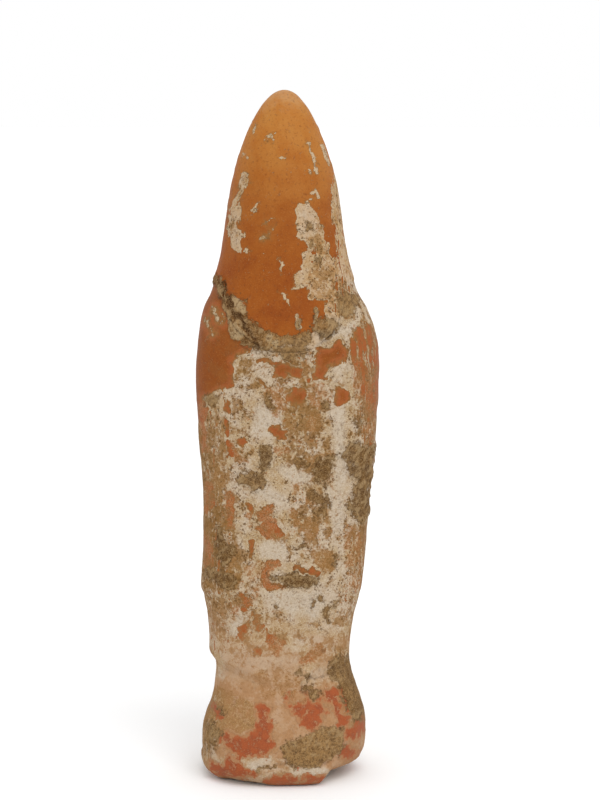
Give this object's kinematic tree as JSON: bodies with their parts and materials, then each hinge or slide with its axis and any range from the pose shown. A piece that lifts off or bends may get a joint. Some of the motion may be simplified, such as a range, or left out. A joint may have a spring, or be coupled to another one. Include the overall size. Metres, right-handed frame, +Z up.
{
  "type": "hooded terracotta tomb figure",
  "caption": "Slender standing figure of fired clay in a tall pointed hood and long cloak, with worn white slip and burial soil, standing on its own low spreading foot.",
  "frame": {"origin": "middle of the flat underside, at the centre of the bounding box", "axes": "+Z up to the hood's tip, the figure faces -Y, and +X is towards its left hand"},
  "size_m": [0.074, 0.0588, 0.28],
  "materials": {
    "slipped_terracotta": "matte orange-red fired clay, smooth where bare, under worn chalky white slip and crusts of tan burial soil"
  },
  "bodies": {
    "root": {"figure": "slipped_terracotta"}
  },
  "joints": []
}
